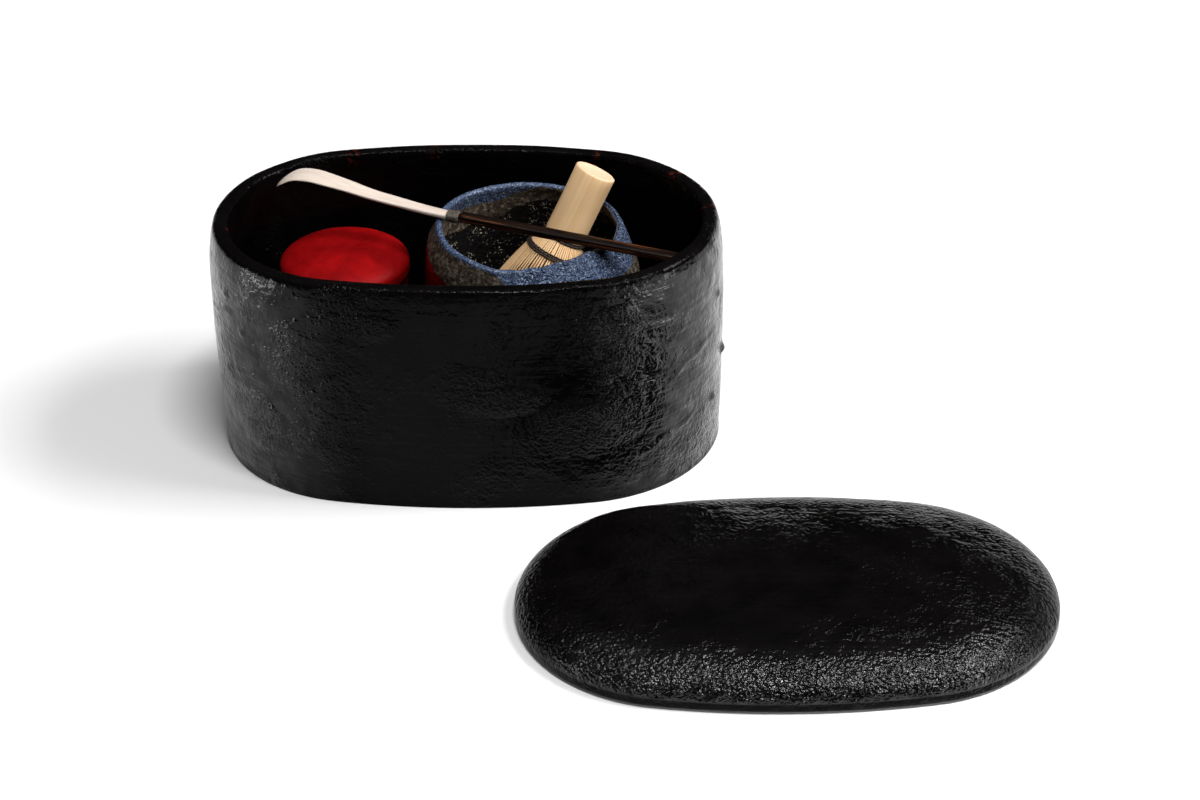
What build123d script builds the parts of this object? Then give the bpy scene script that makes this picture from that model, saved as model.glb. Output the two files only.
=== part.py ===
from build123d import *
import math
import os

# Tea ceremony box: an oval lacquered box standing open, its domed lid lying beside it.
# Inside stand a tea caddy and a deep tea bowl. A whisk leans in the bowl and a tea scoop
# lies across the bowl's rim. Millimetres, +Z up, origin at the middle of the box's underside,
# +X along the box's length.

# ---- driving dimensions ----

# Box, measured at its rim
box_length = 238.0
box_width = 150.0
end_radius = 70.8            # plan radius of the two round ends
box_height = 116.0
wall_swell = [(0, 1.9), (30, 3.0), (70, 3.5), (98, 3.1), (box_height, 0)]  # height, how far past the rim
inside_flare = 2.2           # how much wider the inside is at the table, each side
wall = 7.4
floor_thickness = 8.0
floor_rabbet = 3.0           # how far the floor board is let into the wall
rim_round = 2.4
base_round = 1.2

# Lid
lid_overhang = 1.9           # past the rim's outline, all round
lid_edge_band = 2.6          # upright edge below the dome
lid_rise = 17.4              # dome height above that edge
lid_shoulder = 60.0          # how far the dome's curve reaches in from the edge
lid_thickness = 5.0
lid_sections = 6
lip_height = 3.0
lip_width = 3.0
lid_clearance = 0.5          # lip to the inside of the rim
lid_x = 149.4                # where the lid lies, along the box
lid_gap = 6.1                # room between the rim's outline and the lid's, across the box
lid_yaw = 1.87               # degrees

# Caddy
caddy_radius = 31.4          # at the lid
caddy_step = 1.5             # how far the body stands in from the lid
caddy_foot_radius = 21.0
caddy_seam_height = 65.0
caddy_lid_side = 5.0         # upright side of the caddy's lid
caddy_dome_rise = 8.4
caddy_wall = 2.2
caddy_flange_thickness = 1.8
caddy_fit = 0.2              # lid to flange
caddy_wall_gap = 6.5         # caddy to the inside of the box
caddy_bearing = 120.5        # degrees, from the middle of the box's left end arc

# Tea bowl
bowl_radius = 46.8           # at the rim
bowl_lip = 3.6
lip_round = 1.4
bowl_height = 94.5           # floor board to the middle of the rim
rim_tilt = 4.2               # degrees, the rim falls away to the right
belly_radius = 51.5
belly_wall = 4.8
belly_height = 58.0          # the wall stands upright up to here, then leans in to the rim
bowl_foot_radius = 27.0
bowl_foot_width = 5.0
bowl_foot_height = 5.0
bowl_bottom = 8.5            # clay over the foot
bowl_outer_corner = 19.0
bowl_inner_corner = 25.0
bowl_side_gap = 4.1          # bowl to the far wall of the box
bowl_caddy_gap = 10.1

# Whisk
whisk_length = 96.0
whisk_radius = 10.25
whisk_handle_length = 35.0
whisk_wall = 2.3
septum_depth = 0.7           # the node closes the handle just below its end
septum_thickness = 2.0
splay_radius = 25.0
tine_thickness = 0.7
outer_tine_width = 1.1
inner_tine_width = 0.8
outer_tine_count = 36
inner_tine_count = 24
waist_length = 9.0           # stretch where the tines still run straight
thread_thickness = 1.0
thread_width = 5.0
thread_setback = 1.5         # below the handle
thread_slack = 0.02
thread_round = 0.45
inner_bunch_radius = 5.0     # where the inner tines come together
outer_bend_reach = 0.68      # shares of the splay and of the tines' length
outer_bend_height = 0.32
outer_widest_height = 0.1
inner_bend_height = 0.45
inner_bunch_height = 0.12
inner_tip_height = 0.03
whisk_lean = 28.6            # degrees off upright
whisk_heading = 25.0         # degrees, plan direction of the lean
whisk_bearing = 48.6         # degrees, where the handle meets the bowl's rim
whisk_rim_gap = 1.0          # handle to the rim's edge, before the edge is rounded off
outer_tine_depth = 0.3       # the outer tines leave the handle at this share of its wall
inner_tine_depth = 0.75

# Scoop
scoop_heading = -14.15       # degrees, plan direction from tip to handle
scoop_offset = -7.7          # to the near side of the bowl's middle
scoop_tip_gap = 5.9          # tip to the inside of the box
scoop_end_gap = 9.5          # handle end to the inside of the box
handle_width = 6.2
handle_thickness = 4.0
handle_round = 1.0           # along the handle's edges
handle_end_round = 0.8
blade_neck_width = 5.4
blade_neck_thickness = 3.0
blade_width = 10.4
blade_thickness = 1.5
blade_crest_rise = 6.2       # underside of the arched blade over its resting line
blade_crest_setback = 18.5   # crest to tip
blade_mid_rise = 1.86        # underside half way from neck to crest
blade_mid_thickness = 2.25
blade_tip_drop = 3.0         # tip below the resting line
blade_point_length = 13.0
joint_setback = 9.3          # middle of the joint, in from the outside of the bowl's rim
binding_length = 6.8
binding_thickness = 0.8
tenon_radius = 0.8
tenon_length = 14.0

seat_gap = 0.3               # between loose pieces that rest on each other

# ---- places worked out from the sizes ----

half_length = box_length / 2
half_width = box_width / 2
end_centre = half_length - end_radius
side_radius = (end_centre**2 + half_width**2 - end_radius**2) / (2 * (half_width - end_radius))
side_centre = side_radius - half_width
arc_turn = math.degrees(math.atan2(side_centre, end_centre))
inside_taper = math.degrees(math.atan2(inside_flare, box_height))
inner_inset = wall - inside_flare * (box_height - floor_thickness) / box_height
inner_end_radius = end_radius - wall


def direction(angle):
    """Unit vector in plan at an angle in degrees."""
    return Vector(math.cos(math.radians(angle)), math.sin(math.radians(angle)), 0)


def oval(inset):
    """The box's four-arc outline, drawn in from the rim outline by inset."""
    with BuildSketch(mode=Mode.PRIVATE) as outline:
        with BuildLine():
            CenterArc((end_centre, 0), end_radius - inset, -arc_turn, 2 * arc_turn)
            CenterArc((0, -side_centre), side_radius - inset, arc_turn, 180 - 2 * arc_turn)
            CenterArc((-end_centre, 0), end_radius - inset, 180 - arc_turn, 2 * arc_turn)
            CenterArc((0, side_centre), side_radius - inset, 180 + arc_turn, 180 - 2 * arc_turn)
        make_face()
    return outline.sketch


def reach(point, heading, side):
    """Plan distance from a point to the inside of the box's round end on one side."""
    offset = point - Vector(side * end_centre, 0, 0)
    along = offset.dot(direction(heading))
    across_squared = offset.dot(offset) - along**2
    return math.sqrt(inner_end_radius**2 - across_squared) - along


caddy_centre = Vector(-end_centre, 0, floor_thickness) + direction(caddy_bearing) * (
    inner_end_radius - caddy_wall_gap - caddy_radius
)
bowl_y = half_width - wall - bowl_side_gap - belly_radius
centre_distance = caddy_radius + bowl_caddy_gap + belly_radius
bowl_x = caddy_centre.X + math.sqrt(centre_distance**2 - (bowl_y - caddy_centre.Y) ** 2)
bowl_centre = Vector(bowl_x, bowl_y, floor_thickness)
rim_centre = bowl_centre + Vector(0, 0, bowl_height)

# The rim lies in a plane that falls along the scoop's heading, and the scoop lies in it.
fall = direction(scoop_heading) * math.cos(math.radians(rim_tilt))
fall = fall - Vector(0, 0, math.sin(math.radians(rim_tilt)))
across = direction(scoop_heading + 90)
rim_plane = Plane(origin=rim_centre, x_dir=fall, z_dir=fall.cross(across))
scoop_plane = Plane(origin=rim_centre + across * scoop_offset, x_dir=fall, z_dir=rim_plane.z_dir)
scoop_side_plane = Plane(origin=scoop_plane.origin, x_dir=fall, z_dir=-across)

os.makedirs("parts", exist_ok=True)

# ---- box ----

with BuildPart() as box_wall:
    for height, swell in wall_swell:
        with BuildSketch(Plane.XY.offset(height)):
            add(oval(-swell))
    loft()
    with BuildSketch(Plane.XY.offset(floor_thickness)):
        add(oval(inner_inset))
    extrude(amount=box_height - floor_thickness, taper=inside_taper, mode=Mode.SUBTRACT)
    with BuildSketch():
        add(oval(inner_inset - floor_rabbet))
    extrude(amount=floor_thickness, mode=Mode.SUBTRACT)
    fillet(box_wall.edges().group_by(Axis.Z)[-1], radius=rim_round)
    outer_base = box_wall.faces().sort_by(Axis.Z)[0].outer_wire().edges()
    fillet(outer_base, radius=base_round)
box_wall.part.label = "box_wall"
export_step(box_wall.part, "parts/box_wall.step")

with BuildPart() as box_floor_board:
    with BuildSketch():
        add(oval(inner_inset - floor_rabbet))
    extrude(amount=floor_thickness)
box_floor_board.part.label = "box_floor_board"
export_step(box_floor_board.part, "parts/box_floor_board.step")

# ---- lid ----

lid_place = Vector(lid_x, -(box_width + lid_gap), 0)
lid_plane = Plane(origin=lid_place, x_dir=direction(lid_yaw), z_dir=(0, 0, 1))
lip_inset = wall + lid_clearance
land_inset = lip_inset + lip_width
dome_base = lip_height + lid_edge_band
hollow_rise = lid_edge_band + lid_rise - lid_thickness

with BuildPart() as lid_dome:
    with BuildSketch(lid_plane.offset(lip_height)):
        add(oval(-lid_overhang))
    extrude(amount=lid_edge_band)
    for step in range(lid_sections + 1):
        angle = math.radians(90 * step / lid_sections)
        with BuildSketch(lid_plane.offset(dome_base + lid_rise * math.sin(angle))):
            add(oval((lid_shoulder + lid_overhang) * (1 - math.cos(angle)) - lid_overhang))
    loft()
    for step in range(lid_sections + 1):
        angle = math.radians(90 * step / lid_sections)
        inset = land_inset + (lid_shoulder - land_inset) * (1 - math.cos(angle))
        with BuildSketch(lid_plane.offset(lip_height + hollow_rise * math.sin(angle))):
            add(oval(inset))
    loft(mode=Mode.SUBTRACT)
lid_dome.part.label = "lid_dome"
export_step(lid_dome.part, "parts/lid_dome.step")

with BuildPart() as lid_locating_lip:
    with BuildSketch(lid_plane):
        add(oval(lip_inset))
        add(oval(land_inset), mode=Mode.SUBTRACT)
    extrude(amount=lip_height)
lid_locating_lip.part.label = "lid_locating_lip"
export_step(lid_locating_lip.part, "parts/lid_locating_lip.step")

# ---- caddy ----

caddy_plane = Plane(origin=caddy_centre, x_dir=(1, 0, 0), z_dir=(0, -1, 0))
caddy_axis = Axis(caddy_centre, (0, 0, 1))
body_radius = caddy_radius - caddy_step
lid_bore = caddy_radius - caddy_wall
flange_radius = lid_bore - caddy_fit
cavity_radius = flange_radius - caddy_flange_thickness
flange_height = caddy_lid_side - seat_gap
shoulder_height = caddy_seam_height + caddy_lid_side
foot_tangent = (1, 0.35)
foot_fullness = (0.6, 1.6)

with BuildPart() as caddy_body:
    with BuildSketch(caddy_plane):
        with BuildLine():
            Line((0, 0), (caddy_foot_radius, 0))
            Spline(
                (caddy_foot_radius, 0),
                (body_radius, caddy_seam_height),
                tangents=(foot_tangent, (0, 1)),
                tangent_scalars=foot_fullness,
            )
            Line((body_radius, caddy_seam_height), (flange_radius, caddy_seam_height))
            Line((flange_radius, caddy_seam_height), (flange_radius, caddy_seam_height + flange_height))
            Line((flange_radius, caddy_seam_height + flange_height), (0, caddy_seam_height + flange_height))
            Line((0, caddy_seam_height + flange_height), (0, 0))
        make_face()
    revolve(axis=caddy_axis)
    with BuildSketch(caddy_plane):
        with BuildLine():
            Line((0, caddy_wall), (caddy_foot_radius - caddy_wall, caddy_wall))
            Spline(
                (caddy_foot_radius - caddy_wall, caddy_wall),
                (cavity_radius, caddy_seam_height),
                tangents=(foot_tangent, (0, 1)),
                tangent_scalars=foot_fullness,
            )
            Line((cavity_radius, caddy_seam_height), (cavity_radius, shoulder_height))
            Line((cavity_radius, shoulder_height), (0, shoulder_height))
            Line((0, shoulder_height), (0, caddy_wall))
        make_face()
    revolve(axis=caddy_axis, mode=Mode.SUBTRACT)
caddy_body.part.label = "caddy_body"
export_step(caddy_body.part, "parts/caddy_body.step")


def dome_shoulder(radius, rise):
    """The point half way round a quarter oval that closes the caddy's lid."""
    return (radius * math.sqrt(0.5), shoulder_height + rise * math.sqrt(0.5))


lid_top = shoulder_height + caddy_dome_rise
lid_ceiling = lid_top - caddy_wall

with BuildPart() as caddy_lid:
    with BuildSketch(caddy_plane):
        with BuildLine():
            Line((lid_bore, caddy_seam_height), (caddy_radius, caddy_seam_height))
            Line((caddy_radius, caddy_seam_height), (caddy_radius, shoulder_height))
            Spline(
                (caddy_radius, shoulder_height),
                dome_shoulder(caddy_radius, caddy_dome_rise),
                (0, lid_top),
                tangents=((0, 1), (-1, 0)),
            )
            Line((0, lid_top), (0, lid_ceiling))
            Spline(
                (0, lid_ceiling),
                dome_shoulder(lid_bore, caddy_dome_rise - caddy_wall),
                (lid_bore, shoulder_height),
                tangents=((1, 0), (0, -1)),
            )
            Line((lid_bore, shoulder_height), (lid_bore, caddy_seam_height))
        make_face()
    revolve(axis=caddy_axis)
caddy_lid.part.label = "caddy_lid"
export_step(caddy_lid.part, "parts/caddy_lid.step")

# ---- tea bowl ----

bowl_plane = Plane(origin=bowl_centre, x_dir=(1, 0, 0), z_dir=(0, -1, 0))
bowl_axis = Axis(bowl_centre, (0, 0, 1))
blank_height = bowl_height + bowl_radius * math.tan(math.radians(rim_tilt)) + lip_round
bowl_inner_radius = bowl_radius - bowl_lip
belly_inner_radius = belly_radius - belly_wall
bowl_inner_bottom = bowl_foot_height + bowl_bottom
foot_inner_radius = bowl_foot_radius - bowl_foot_width
outer_corner_top = bowl_foot_height + bowl_outer_corner
inner_corner_top = bowl_inner_bottom + bowl_inner_corner
lean_in = (bowl_radius - belly_radius, bowl_height - belly_height)
rim_lean = (belly_radius - bowl_radius) / (bowl_height - belly_height)
blank_radius = bowl_radius - rim_lean * (blank_height - bowl_height)

with BuildPart() as tea_bowl:
    with BuildSketch(bowl_plane):
        with BuildLine():
            Line((0, bowl_foot_height), (foot_inner_radius, bowl_foot_height))
            Line((foot_inner_radius, bowl_foot_height), (foot_inner_radius, 0))
            Line((foot_inner_radius, 0), (bowl_foot_radius, 0))
            Line((bowl_foot_radius, 0), (bowl_foot_radius, bowl_foot_height))
            Line((bowl_foot_radius, bowl_foot_height), (belly_radius - bowl_outer_corner, bowl_foot_height))
            CenterArc((belly_radius - bowl_outer_corner, outer_corner_top), bowl_outer_corner, -90, 90)
            Line((belly_radius, outer_corner_top), (belly_radius, belly_height))
            Spline((belly_radius, belly_height), (bowl_radius, bowl_height), tangents=((0, 1), lean_in))
            Line((bowl_radius, bowl_height), (blank_radius, blank_height))
            Line((blank_radius, blank_height), (blank_radius - bowl_lip, blank_height))
            Line((blank_radius - bowl_lip, blank_height), (bowl_inner_radius, bowl_height))
            Spline(
                (bowl_inner_radius, bowl_height),
                (belly_inner_radius, belly_height),
                tangents=((-lean_in[0], -lean_in[1]), (0, -1)),
            )
            Line((belly_inner_radius, belly_height), (belly_inner_radius, inner_corner_top))
            CenterArc(
                (belly_inner_radius - bowl_inner_corner, inner_corner_top),
                bowl_inner_corner, -90, 90,
            )
            Line((belly_inner_radius - bowl_inner_corner, bowl_inner_bottom), (0, bowl_inner_bottom))
            Line((0, bowl_inner_bottom), (0, bowl_foot_height))
        make_face()
    revolve(axis=bowl_axis)
    split(bisect_by=rim_plane, keep=Keep.BOTTOM)
    fillet(tea_bowl.faces().sort_by(Axis.Z)[-1].edges(), radius=lip_round)
tea_bowl.part.label = "tea_bowl"
export_step(tea_bowl.part, "parts/tea_bowl.step")

# ---- whisk ----

lean = math.radians(whisk_lean)
whisk_axis_dir = direction(whisk_heading) * math.sin(lean) + Vector(0, 0, math.cos(lean))
turn = math.radians(whisk_bearing - whisk_heading)
handle_reach = math.hypot(whisk_radius / math.cos(lean) * math.cos(turn), whisk_radius * math.sin(turn))
rim_drop = bowl_inner_radius * math.cos(math.radians(whisk_bearing - scoop_heading))
rim_drop = rim_drop * math.tan(math.radians(rim_tilt))
rim_reach = bowl_inner_radius + rim_lean * rim_drop
lean_outward = math.atan(math.tan(lean) * math.cos(turn))
half_corner = math.radians(45) - math.atan(rim_lean) / 2
rounding = math.cos(lean_outward) / math.tan(half_corner) + math.sin(lean_outward) - 1
rounding = lip_round * rounding / math.cos(lean_outward)
contact_radius = rim_reach + rounding - whisk_rim_gap - handle_reach
contact = rim_centre + direction(whisk_bearing) * contact_radius - Vector(0, 0, rim_drop)
foot_height = floor_thickness + bowl_inner_bottom + seat_gap + splay_radius * math.sin(lean)
whisk_foot = contact - whisk_axis_dir * ((contact.Z - foot_height) / math.cos(lean))
whisk_plane = Plane(origin=whisk_foot, x_dir=direction(whisk_heading + 90), z_dir=whisk_axis_dir)
waist = whisk_length - whisk_handle_length
bore_radius = whisk_radius - whisk_wall
outer_root = whisk_radius - outer_tine_depth * whisk_wall
inner_root = whisk_radius - inner_tine_depth * whisk_wall


def tine(points, width):
    """One bamboo tine: a thin strip bent through (radius, height) points about the whisk's axis."""
    side = Plane(origin=whisk_foot, x_dir=whisk_plane.x_dir, z_dir=-whisk_plane.y_dir)
    root_radius, root_height = points[0]
    outside = [(radius + tine_thickness, height) for radius, height in points[:-1]]
    with BuildPart(mode=Mode.PRIVATE) as strip:
        with BuildSketch(side):
            with BuildLine():
                Spline(*points, tangents=(downward, inner_curl))
                Line((root_radius, root_height), (root_radius, waist))
                Spline(*outside, points[-1], tangents=(downward, outer_curl))
                Line((root_radius + tine_thickness, root_height), (root_radius + tine_thickness, waist))
                Line((root_radius, waist), (root_radius + tine_thickness, waist))
            make_face()
        extrude(amount=width / 2, both=True)
    return strip.part


# The outer tines splay towards the bowl and curl in at their tips; the inner ones draw together.
downward = (0, -1)
inner_curl = (-0.5, -0.6)
outer_curl = (-0.9, -0.3)
outer_points = [
    (outer_root - tine_thickness, waist - waist_length),
    (splay_radius * outer_bend_reach, waist * outer_bend_height),
    (splay_radius - tine_thickness, waist * outer_widest_height),
    (splay_radius - 4 * tine_thickness, 0),
]
inner_points = [
    (inner_root - tine_thickness, waist - waist_length),
    ((inner_root + inner_bunch_radius) / 2, waist * inner_bend_height),
    (inner_bunch_radius, waist * inner_bunch_height),
    (inner_bunch_radius - 2 * tine_thickness, waist * inner_tip_height),
]
outer_tine = tine(outer_points, outer_tine_width)
inner_tine = tine(inner_points, inner_tine_width)


def ring_of(piece, count):
    """Copies of a piece, evenly turned about the whisk's axis."""
    whisk_axis = Axis(whisk_foot, whisk_axis_dir)
    return [piece.rotate(whisk_axis, 360 * index / count) for index in range(count)]


with BuildPart() as whisk_handle:
    with BuildSketch(whisk_plane.offset(waist)):
        Circle(whisk_radius)
    extrude(amount=whisk_handle_length)
    with BuildSketch(whisk_plane.offset(waist)):
        Circle(bore_radius)
    extrude(amount=whisk_handle_length - septum_depth - septum_thickness, mode=Mode.SUBTRACT)
    with BuildSketch(whisk_plane.offset(whisk_length)):
        Circle(bore_radius)
    extrude(amount=-septum_depth, mode=Mode.SUBTRACT)
whisk_handle.part.label = "whisk_handle"
export_step(whisk_handle.part, "parts/whisk_handle.step")

with BuildPart() as whisk_outer_tines:
    add(ring_of(outer_tine, outer_tine_count))
whisk_outer_tines.part.label = "whisk_outer_tines"
export_step(whisk_outer_tines.part, "parts/whisk_outer_tines.step")

with BuildPart() as whisk_inner_tines:
    add(ring_of(inner_tine, inner_tine_count))
whisk_inner_tines.part.label = "whisk_inner_tines"
export_step(whisk_inner_tines.part, "parts/whisk_inner_tines.step")

thread_bore = math.hypot(outer_root, outer_tine_width / 2) + thread_slack
with BuildPart() as whisk_thread:
    with BuildSketch(whisk_plane.offset(waist - thread_width - thread_setback)):
        Circle(thread_bore + thread_thickness)
        Circle(thread_bore, mode=Mode.SUBTRACT)
    extrude(amount=thread_width)
    thread_edges = whisk_thread.edges().filter_by(GeomType.CIRCLE)
    fillet(thread_edges.group_by(SortBy.RADIUS)[-1], radius=thread_round)
whisk_thread.part.label = "whisk_thread"
export_step(whisk_thread.part, "parts/whisk_thread.step")

# ---- scoop ----

scoop_point = Vector(scoop_plane.origin.X, scoop_plane.origin.Y, 0)
handle_end = reach(scoop_point, scoop_heading, 1) - scoop_end_gap
blade_tip = -(reach(scoop_point, scoop_heading + 180, -1) - scoop_tip_gap)
joint_place = -(bowl_radius - joint_setback)
neck_start = joint_place - binding_length / 2
neck_end = joint_place + binding_length / 2
blade_crest = blade_tip + blade_crest_setback
blade_middle = (neck_start + blade_crest) / 2
blade_middle_under = seat_gap + blade_mid_rise
blade_tip_under = seat_gap - blade_tip_drop
tip_slope = (0.75, 0.66)
neck_top = seat_gap + blade_neck_thickness
tenon_height = seat_gap + blade_neck_thickness / 2


def lengthwise(low, high, bottom, top, width, plane):
    """A square bar along the scoop, from low to high."""
    with BuildPart(mode=Mode.PRIVATE) as bar:
        with BuildSketch(plane):
            with Locations(((low + high) / 2, (bottom + top) / 2)):
                Rectangle(high - low, top - bottom)
        extrude(amount=width / 2, both=True)
    return bar.part


tenon_plane = Plane(
    origin=scoop_plane.origin + fall * (joint_place - tenon_length / 2) + rim_plane.z_dir * tenon_height,
    z_dir=fall,
)

with BuildPart() as scoop_tenon:
    with BuildSketch(tenon_plane):
        Circle(tenon_radius)
    extrude(amount=tenon_length)
scoop_tenon.part.label = "scoop_tenon"
export_step(scoop_tenon.part, "parts/scoop_tenon.step")

with BuildPart() as scoop_handle:
    add(
        lengthwise(
            joint_place, handle_end, seat_gap, seat_gap + handle_thickness, handle_width, scoop_side_plane,
        )
    )
    fillet(scoop_handle.edges().filter_by(Axis((0, 0, 0), fall)), radius=handle_round)
    fillet(scoop_handle.faces().sort_by(Axis((0, 0, 0), fall))[-1].edges(), radius=handle_end_round)
    with BuildSketch(scoop_side_plane):
        with Locations((joint_place, seat_gap + blade_neck_thickness)):
            Rectangle(binding_length / 2, handle_thickness, align=(Align.MIN, Align.MIN))
    extrude(amount=handle_width, both=True, mode=Mode.SUBTRACT)
    add(scoop_tenon.part, mode=Mode.SUBTRACT)
scoop_handle.part.label = "scoop_handle"
export_step(scoop_handle.part, "parts/scoop_handle.step")

with BuildPart() as scoop_blade:
    with BuildSketch(scoop_side_plane):
        with BuildLine():
            Line((joint_place, seat_gap), (joint_place, neck_top))
            Line((joint_place, neck_top), (neck_start, neck_top))
            Spline(
                (neck_start, neck_top),
                (blade_middle, blade_middle_under + blade_mid_thickness),
                (blade_crest, seat_gap + blade_crest_rise + blade_thickness),
                (blade_tip, blade_tip_under + blade_thickness / 2),
                tangents=((-1, 0), (-tip_slope[0], -tip_slope[1])),
            )
            Line((blade_tip, blade_tip_under + blade_thickness / 2), (blade_tip, blade_tip_under))
            Spline(
                (blade_tip, blade_tip_under),
                (blade_crest, seat_gap + blade_crest_rise),
                (blade_middle, blade_middle_under),
                (neck_start, seat_gap),
                tangents=(tip_slope, (1, 0)),
            )
            Line((neck_start, seat_gap), (joint_place, seat_gap))
        make_face()
    extrude(amount=blade_width, both=True)
    with BuildSketch(scoop_plane.offset(-box_height / 2)):
        with BuildLine():
            Line((joint_place, -blade_neck_width / 2), (joint_place, blade_neck_width / 2))
            Line((joint_place, blade_neck_width / 2), (neck_start, blade_neck_width / 2))
            Spline(
                (neck_start, blade_neck_width / 2),
                (blade_tip + blade_point_length, blade_width / 2),
                (blade_tip, 0),
                (blade_tip + blade_point_length, -blade_width / 2),
                (neck_start, -blade_neck_width / 2),
                tangents=((-1, 0), (1, 0)),
            )
            Line((neck_start, -blade_neck_width / 2), (joint_place, -blade_neck_width / 2))
        make_face()
    extrude(amount=box_height, mode=Mode.INTERSECT)
    add(scoop_tenon.part, mode=Mode.SUBTRACT)
scoop_blade.part.label = "scoop_blade"
export_step(scoop_blade.part, "parts/scoop_blade.step")

with BuildPart() as scoop_binding:
    add(
        lengthwise(
            neck_start, neck_end, seat_gap - binding_thickness, neck_top + binding_thickness,
            handle_width + 2 * binding_thickness, scoop_side_plane,
        )
    )
    fillet(scoop_binding.edges().filter_by(Axis((0, 0, 0), fall)), radius=binding_thickness)
    add(scoop_handle.part, mode=Mode.SUBTRACT)
    add(scoop_blade.part, mode=Mode.SUBTRACT)
    add(scoop_tenon.part, mode=Mode.SUBTRACT)
scoop_binding.part.label = "scoop_binding"
export_step(scoop_binding.part, "parts/scoop_binding.step")
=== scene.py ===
"""A lacquered tea box standing open with its lid beside it: the finish of every surface."""
import math
import random

import bmesh
import bpy
from mathutils import Matrix, Vector, noise


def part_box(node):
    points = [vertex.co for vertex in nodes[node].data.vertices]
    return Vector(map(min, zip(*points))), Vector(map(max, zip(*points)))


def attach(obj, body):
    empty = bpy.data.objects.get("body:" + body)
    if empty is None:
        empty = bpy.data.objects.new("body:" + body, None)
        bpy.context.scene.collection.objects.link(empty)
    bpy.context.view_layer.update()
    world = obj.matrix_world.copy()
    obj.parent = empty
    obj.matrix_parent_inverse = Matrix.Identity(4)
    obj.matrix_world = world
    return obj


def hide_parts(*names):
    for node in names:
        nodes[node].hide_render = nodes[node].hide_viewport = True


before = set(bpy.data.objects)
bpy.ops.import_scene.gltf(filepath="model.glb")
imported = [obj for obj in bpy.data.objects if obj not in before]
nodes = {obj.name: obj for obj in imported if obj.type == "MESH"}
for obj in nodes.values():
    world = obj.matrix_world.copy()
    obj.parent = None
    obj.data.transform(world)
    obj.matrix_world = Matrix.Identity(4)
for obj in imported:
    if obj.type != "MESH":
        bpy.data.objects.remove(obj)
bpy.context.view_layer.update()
MM = 0.001

# ------------------------ sizes, in millimetres

BOX_LENGTH = 238.0
BOX_WIDTH = 150.0
END_RADIUS = 70.8
SWELL = [(0, 1.9), (30, 3.0), (70, 3.6), (98, 3.2), (109, 1.9), (116, 0)]
INSIDE_FLARE = 2.2
WALL = 7.4
RIM_ROUND = 2.6
BASE_ROUND = 0.9

LID_YAW = math.radians(1.87)
LID_OVERHANG = 1.9
LID_SKIRT = 1.9
LID_BAND = 2.6
LID_SHOULDER = 60.0
LID_LAND = 10.9
LID_THICKNESS = 5.0

RIM_TILT = math.radians(4.2)
SCOOP_HEADING = math.radians(-14.15)
SCOOP_OFFSET = -7.7
BOWL_RIM_HEIGHT = 94.5
BOWL_RIM_RADIUS = 46.8
BOWL_LIP = 3.6

WHISK_LEAN = math.radians(28.6)
WHISK_HEADING = math.radians(25.0)
WHISK_HANDLE = 35.0
WHISK_WAIST = 61.0
WHISK_RADIUS = 10.25


def corners(node):
    """A CAD node's lowest and highest corners, in millimetres."""
    low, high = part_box(node)
    return Vector(low) / MM, Vector(high) / MM


def centre_of(node):
    """The middle of a CAD node's box, in millimetres."""
    low, high = corners(node)
    return (low + high) / 2


def heading(angle):
    """Unit vector in plan."""
    return Vector((math.cos(angle), math.sin(angle), 0))


def smooth(value, low, high):
    """0 below low, 1 above high, smooth between."""
    t = max(0.0, min(1.0, (value - low) / (high - low)))
    return t * t * (3 - 2 * t)


def between(keys, value):
    """Smooth value of a short list of (place, height) keys."""
    if value <= keys[0][0]:
        return keys[0][1]
    for (a, low), (b, high) in zip(keys, keys[1:]):
        if value <= b:
            return low + (high - low) * smooth(value, a, b)
    return keys[-1][1]


def hermite(start, end, pull_in, pull_out, u):
    """Place at u, 0 to 1, on a cubic from start to end that leaves and arrives with the given pulls."""
    return (
        start * (2 * u**3 - 3 * u**2 + 1) + pull_in * (u**3 - 2 * u**2 + u)
        + end * (3 * u**2 - 2 * u**3) + pull_out * (u**3 - u**2)
    )


def through(keys, value):
    """Value at a place on a smooth curve through (place, height) keys."""
    k = max(i for i in range(len(keys) - 1) if i == 0 or keys[i][0] <= value)
    (a, low), (b, high) = keys[k], keys[k + 1]
    before = keys[k - 1] if k else (2 * a - b, 2 * low - high)
    after = keys[k + 2] if k + 2 < len(keys) else (2 * b - a, 2 * high - low)
    rise_in = (high - before[1]) / (b - before[0]) * (b - a)
    rise_out = (after[1] - low) / (after[0] - a) * (b - a)
    return hermite(low, high, rise_in, rise_out, (value - a) / (b - a))


def curve_through(points, count):
    """Points evenly spread along a smooth curve through the given ones."""
    last = len(points) - 1
    result = []
    for index in range(count):
        t = index / (count - 1) * last
        k = min(int(t), last - 1)
        before, start = Vector(points[max(k - 1, 0)]), Vector(points[k])
        end, after = Vector(points[k + 1]), Vector(points[min(k + 2, last)])
        result.append(hermite(start, end, (end - before) / 2, (after - start) / 2, t - k))
    return result


def lumpy(point, *layers):
    """Smooth unevenness at a point, summed over layers of (size, height)."""
    return sum(height * noise.noise(point / size) for size, height in layers)


# ------------------------ meshes

def grid(rings):
    """(points, faces) of a surface through rings of equally many points."""
    points = [p for ring in rings for p in ring]
    count = len(rings[0])
    faces = []
    for row in range(len(rings) - 1):
        for k in range(count):
            a = row * count + k
            b = row * count + (k + 1) % count
            faces.append((a, b, b + count, a + count))
    return points, faces


def cap(points, faces, ring_start, count, flip=False):
    """Closes a ring of points with a fan round its middle."""
    ring = range(ring_start, ring_start + count)
    middle = sum((points[k] for k in ring), Vector()) / count
    points.append(middle)
    hub = len(points) - 1
    for k in range(count):
        a, b = ring_start + k, ring_start + (k + 1) % count
        faces.append((b, a, hub) if flip else (a, b, hub))


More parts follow.
